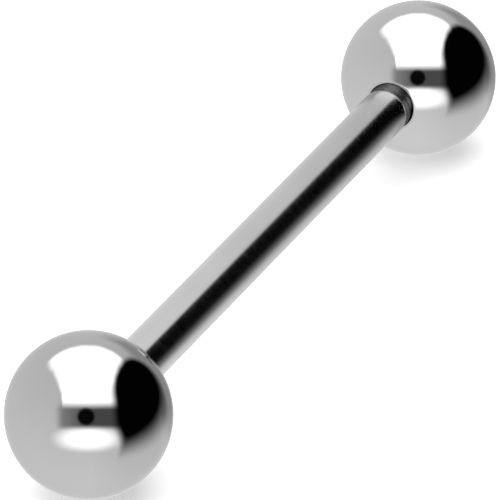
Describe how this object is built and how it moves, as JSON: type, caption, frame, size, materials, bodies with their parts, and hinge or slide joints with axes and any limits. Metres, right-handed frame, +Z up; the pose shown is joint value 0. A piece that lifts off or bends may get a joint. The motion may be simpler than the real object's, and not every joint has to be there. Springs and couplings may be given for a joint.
{
  "type": "piercing barbell",
  "caption": "Straight polished steel bar with a screw-on ball at each end, worn through a piercing to hold it open and show the balls.",
  "frame": {"origin": "middle of the shaft, on its axis", "axes": "+X along the shaft towards the right ball, +Y across it, +Z up; the barbell lies level on its two balls, 2.6 mm below the origin"},
  "size_m": [0.032, 0.0052, 0.0052],
  "materials": {
    "bar_steel": "bright polished surgical steel, with a duller cut thread on both ends",
    "ball_steel": "mirror polished surgical steel"
  },
  "bodies": {
    "bar": {"bar": "bar_steel"},
    "left_ball": {"left_ball": "ball_steel"},
    "right_ball": {"right_ball": "ball_steel"}
  },
  "joints": [
    {"name": "left_ball_off", "type": "slide", "parent": "bar", "child": "left_ball", "axis": [-1, 0, 0], "range_m": [0, 0.024]},
    {"name": "right_ball_off", "type": "slide", "parent": "bar", "child": "right_ball", "axis": [1, 0, 0], "range_m": [0, 0.024]}
  ]
}
